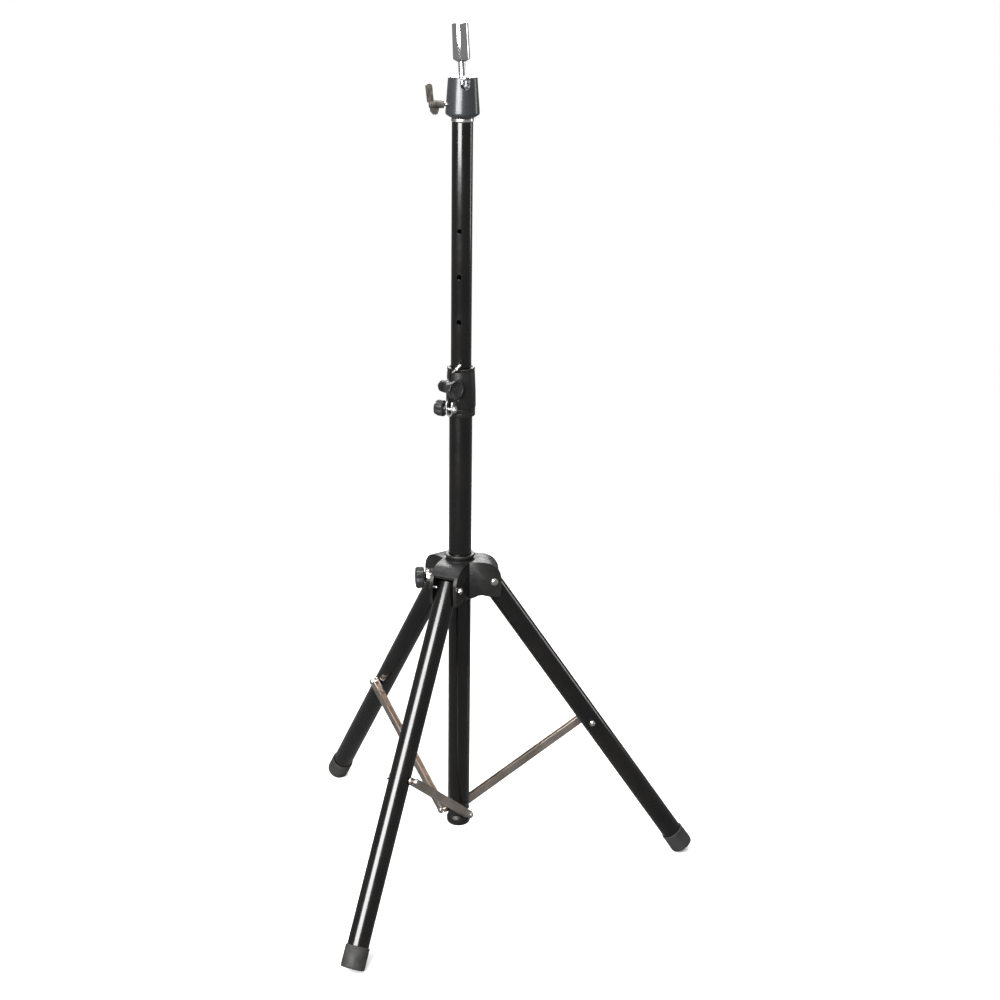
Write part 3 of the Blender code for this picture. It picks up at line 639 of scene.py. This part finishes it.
def knobs():
    """Moulded knobs: rounded lobes, and a sunk face on the clamp's."""
    clamp = [(0, 20), (M6_HOLE, 20), (M6_HOLE, 7.8), (8.8, 7.8), (9.2, 9.5)]
    clamp += [(10.4, 13), (12.2, 18, 0.3), (13.9, 22, 0.6), (14.5, 23.6, 0.7)]
    clamp += [(14.5, 24.9, 0.7), (13.9, 26, 0.4), (12.2, 26), (11.4, 25.2)]
    clamp += [(10.4, 24.6), (6, 23.4), (4.4, 23.2), (4, 23.7), (0, 23.8)]
    band = [(0, 18), (M5_HOLE, 18), (M5_HOLE, 5.3), (6, 5.3), (6.2, 7.6)]
    band += [(10.4, 8.2, 0.3), (11.7, 9.8, 0.6), (11.9, 11.5, 0.6), (11.9, 19.5, 0.6)]
    band += [(11, 21.8, 0.5), (9.2, 23.2, 0.2), (7.4, 23.4), (6.6, 22.2), (0, 21.8)]
    hub = [(0, 66), (M6_HOLE, 66), (M6_HOLE, 53.3), (7.5, 53.3), (8.4, 55.7)]
    hub += [(12.4, 56, 0.3), (14.6, 56.4, 0.8), (16, 58.1, 1.2), (16.2, 66.8, 1.2)]
    hub += [(14.6, 69.1, 0.8), (9, 69.9), (7.6, 69.2), (0, 69)]
    for name, node, profile, waves, matrix in (
        ("grip_clamp", "clamp_knob", clamp, 8, joint_frame("clamp_turn")),
        ("grip_band", "band_knob", band, 6, joint_frame("band_turn")),
        ("grip_hub", "hub_knob", hub, 7, joint_frame("hub_screw_turn", True)),
    ):
        bm = lathe(profile, 0.5, steps=24 * waves, waves=waves, sharp=1.5)
        fitted(name, node, bm, matrix)


def nuts():
    """The nuts of the clamp and the band, and the insert that the hub's knob runs in."""
    clamp, band = joint_frame("clamp_turn"), joint_frame("band_turn")
    hub = joint_frame("hub_screw_turn", True)
    fitted("hex_clamp", "clamp_nut", hexagonal(M6_HEX, -13.2, -8.8, 0.7, M6_HOLE), clamp)
    fitted("hex_band", "band_nut", hexagonal(M5_HEX, -10.4, -6.3, 0.6, M5_HOLE), band)
    fitted("hex_hub", "hub_insert", hexagonal(6.8, 43.3, 53, 0.8, M6_HOLE), hub)


def leg_bolts():
    """The M6 bolts the legs swing on, with their nuts, and the M5 bolts of the braces."""
    face = HUB_SIDE + GAP
    for i in (1, 2, 3):
        across = joint_frame(f"leg_fold_{i}")
        washer = face + 1
        bolt = merged(
            hexagonal(M6_HEX, -washer - 3, -washer, 0.4, dome=1.7),
            rod(5.9, -washer, -face),
            threaded(M6, -face, 28.4, M6_PITCH, plain=42),
        )
        fitted(f"bolt_hub_{i}", f"hub_bolt_{i}", bolt, across)
        nut = hexagonal(M6_HEX, face, 27.2, 0.7, M6_HOLE)
        fitted(f"hex_leg_{i}", f"hub_nut_{i}", nut, across)
        bolt = merged(
            hexagonal(5, -21, -16.8, 0.6),
            threaded(M5, -23.3, -20.8, M5_PITCH),
            rod(M5, -20.8, 16.2),
        )
        fitted(f"bolt_leg_{i}", f"leg_bolt_{i}", bolt, leg_frame(i) @ AT_LEG_BOLT)


def domed(base, radius, rise):
    """Profile points of a rivet's head, from its underside out and over to its crown."""
    rim = 0.8
    top = base + rim + rise
    crown = [(r, top - down) for r, down in reversed(quarter(radius, rise))]
    return [(radius, base), *crown, (0, top)]


def rivets():
    """The shouldered rivets in the braces' outer ends, and the pins they turn on at the foot."""
    near, far = LEG_TUBE[0] + GAP, BRACE_OUTER + GAP
    shoulder = [(0, near), (M5, near), (M5, far), *domed(far, 5, 1.8)]
    pin = [(0, 6), (M5, 6), (M5, far), *domed(far, 4.8, 1.5)]
    for i in (1, 2, 3):
        bm = lathe(shoulder, 0.2, steps=48)
        fitted(f"rivet_{i}", f"brace_rivet_{i}", bm, leg_frame(i) @ AT_LEG_BOLT)
        joint = JOINTS[f"brace_fold_{i}"]
        outwards = horizontal(joint["pos_m"], -Vector(joint["axis"]))
        fitted(f"pin_{i}", f"brace_pin_{i}", lathe(pin, 0.2, steps=48), outwards)


# Rings, bushes and the post


def low_end(node):
    """The height of a node's low end, in millimetres."""
    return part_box(node)[0].z / MM


def on_mast(name, node, profile, fillet, **settings):
    """A piece turned about the mast's axis."""
    bm = lathe(profile, fillet, steps=128, **settings)
    piece(name, new_mesh(name, bm), node)


def rings():
    """The rings on the hub, the collar and the head, and the mast's bush and guide."""
    bore = LOWER_TUBE[0] + GAP
    z = low_end("hub_ring")
    ring = raised(z, (20.5, 0), (20.5, 2), (22.6, 2.8), (23, 3.6), (23, 6), (22.2, 7))
    ring += raised(z, (bore, 7), (bore, 0))
    on_mast("ring_hub", "hub_ring", ring, 0.6, ring=True)
    z = low_end("collar_band")
    ring = raised(z, (21.2, 0), (21.8, 0.6), (21.8, 5.4), (21.3, 5.9), (21.3, 7.1))
    ring += raised(z, (21.8, 7.6), (21.8, 12.4), (21.2, 13), (bore, 13), (bore, 0))
    on_mast("ring_band", "collar_band", ring, 0.4, ring=True)
    z = low_end("head_ring")
    ring = raised(z, (15.6, 0), (16.4, 0.4), (16.6, 1.4), (16.6, 3.6), (16.4, 4.6), (15.6, 5))
    ring += raised(z, (14, 5), (14, 0))
    on_mast("ring_head", "head_ring", ring, 0.3, ring=True)
    low, high = (corner.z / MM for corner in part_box("collar_bush"))
    bm = tube_solid(LOWER_TUBE[0], UPPER_TUBE[0] + GAP, low, high)
    piece("bush", new_mesh("bush", bm), "collar_bush")
    z = low_end("upper_tube_guide")
    slides, grips = LOWER_TUBE[1] - GAP, UPPER_TUBE[1] - GAP
    guide = raised(z, (0, 0), (15.2, 0), (slides, 0.8), (slides, 3), (15.6, 3.4), (15.6, 4.6))
    guide += raised(z, (slides, 5), (slides, 7.7), (grips, 7.7), (grips, 26), (0, 26))
    on_mast("guide", "upper_tube_guide", guide, 0.3)


def post():
    """The ball with its neck, and the taper post with a turned chamfer at each end."""
    centre = Matrix.Translation(JOINTS["post_tilt"]["pos_m"])
    matrix = centre @ Matrix.Rotation(-POST_LEAN, 4, "Y")
    meets = math.acos(NECK_RADIUS / BALL_RADIUS)
    steps = 40
    angles = [-math.pi / 2 + (meets + math.pi / 2) * i / steps for i in range(steps + 1)]
    ball = [(max(0, BALL_RADIUS * math.cos(a)), BALL_RADIUS * math.sin(a)) for a in angles]
    ball[0] = (0, -BALL_RADIUS)
    ball += [(NECK_RADIUS, NECK_TOP), (0, NECK_TOP)]
    fitted("ball", "post_ball", lathe(ball, 0.01), matrix)
    bore, floor_of_bore = NECK_RADIUS + GAP, NECK_TOP + GAP
    taper = [(0, floor_of_bore), (bore, floor_of_bore), (bore, 31), (6.6, 31)]
    taper += [(11.6, 34.2), (12.4, 35.6), (11.6, 85.2), (10.8, 86), (0, 86)]
    fitted("taper", "post_taper", lathe(taper, 0.5, steps=128), matrix)


# Stage

FLOOR_FADE = 0.4  # metres from the middle, where the floor starts to fade
FLOOR_END = 2.2
DIM = 0.22  # the world's strength for all but the camera
CAMERA_DOWN = math.radians(18.976)
CAMERA_RIGHT = math.radians(1.237)
CAMERA_ROLL = math.radians(-0.737)
CAMERA_PLACE = 0, -2.834714, 1.60076
LENS, SENSOR = 69.99, 36  # mm
FAR = 30  # metres, past which the camera sees nothing

# Each light's place, the height on the mast it points at, its width and height, and its watts
LIGHTS = {
    "key": ((-1.4, -2.65, 2.3), 0.8, (2.4, 3.0), 420),
    "fill": ((2.8, 0.9, 1.6), 0.7, (0.4, 2.2), 18),
    "top": ((0.1, 0.3, 3.9), 0.5, (2.4, 2.4), 110),
    "back": ((-0.3, 2.6, 2.05), 0.6, (2.8, 1.2), 95),
}


def camera():
    """The standing view: from in front, a little above the head, looking down."""
    level = math.cos(CAMERA_DOWN)
    ahead = Vector(
        (math.sin(CAMERA_RIGHT) * level, math.cos(CAMERA_RIGHT) * level, -math.sin(CAMERA_DOWN))
    )
    right = Vector((math.cos(CAMERA_RIGHT), -math.sin(CAMERA_RIGHT), 0))
    down = ahead.cross(right)
    cos, sin = math.cos(CAMERA_ROLL), math.sin(CAMERA_ROLL)
    right, down = cos * right + sin * down, -sin * right + cos * down
    data = bpy.data.cameras.new("camera")
    data.lens = LENS
    data.sensor_width = SENSOR
    data.clip_end = FAR
    obj = bpy.data.objects.new("camera", data)
    turn = Matrix((right, -down, -ahead)).transposed().to_4x4()
    obj.matrix_world = Matrix.Translation(CAMERA_PLACE) @ turn
    bpy.context.collection.objects.link(obj)
    bpy.context.scene.camera = obj


def softbox(name, place, aim, size, power):
    """A rectangular light at a place, turned to what it is aimed at."""
    data = bpy.data.lights.new(name, "AREA")
    data.shape = "RECTANGLE"
    data.size, data.size_y = size
    data.energy = power
    obj = bpy.data.objects.new(name, data)
    obj.location = place
    look = (Vector(aim) - Vector(place)).to_track_quat("-Z", "Y")
    obj.rotation_euler = look.to_euler()
    bpy.context.collection.objects.link(obj)


def floor():
    """A pale floor that fades into the white around it."""
    bm = bmesh.new()
    bmesh.ops.create_circle(bm, cap_ends=True, segments=96, radius=FLOOR_END)
    obj = bpy.data.objects.new("floor", new_mesh("floor", bm))
    bpy.context.collection.objects.link(obj)
    s = Shader("floor", Roughness=0.9, **{"Specular IOR Level": 0.1})
    s.colours(s.noise(3, 2), (0.9, 0.9, 0.9), (0.92, 0.92, 0.92))
    distance = s.add("ShaderNodeVectorMath", operation="LENGTH")
    s.link(s.place, distance.inputs["Vector"])
    fade = s.spread(distance.outputs["Value"], 1, 0, FLOOR_FADE, FLOOR_END)
    s.link(fade, s.bsdf.inputs["Alpha"])
    obj.data.materials.append(s.material)
    obj.visible_glossy = False  # the enamel shows black, as over a dark studio floor


def surroundings():
    """White where the camera sees it, and dim where it lights the stand."""
    world = bpy.data.worlds.new("world")
    bpy.context.scene.world = world
    world.use_nodes = True
    nodes = world.node_tree.nodes
    seen = nodes.new("ShaderNodeLightPath").outputs["Is Camera Ray"]
    strength = nodes.new("ShaderNodeMapRange")
    strength.inputs["To Min"].default_value = DIM
    strength.inputs["To Max"].default_value = 1.0
    world.node_tree.links.new(seen, strength.inputs["Value"])
    background = nodes["Background"]
    background.inputs["Color"].default_value = (1, 1, 1, 1)
    world.node_tree.links.new(strength.outputs["Result"], background.inputs["Strength"])


def stage():
    """The floor, the world and the lights round the stand."""
    floor()
    surroundings()
    for name, (place, height, size, power) in LIGHTS.items():
        softbox(name, place, (0, 0, height), size, power)
    scene = bpy.context.scene
    scene.view_settings.view_transform = "Standard"
    scene.view_settings.look = "None"


SHEET_EDGE = 0.35 * MM  # how far the braces' edges are rounded
CAST_EDGE = 0.5 * MM
CASTINGS = (
    "hub_body",
    "collar",
    "mast_foot",
    "head_socket",
    "head_lever",
    "band_bracket",
    "lock_pin",
)


def main():
    finish_nodes()
    mast_tubes()
    legs()
    studs()
    knobs()
    nuts()
    leg_bolts()
    rivets()
    rings()
    post()
    for i in (1, 2, 3):
        softened(f"brace_{i}", SHEET_EDGE)
    for node in CASTINGS:
        softened(node, CAST_EDGE)
    camera()
    stage()


main()
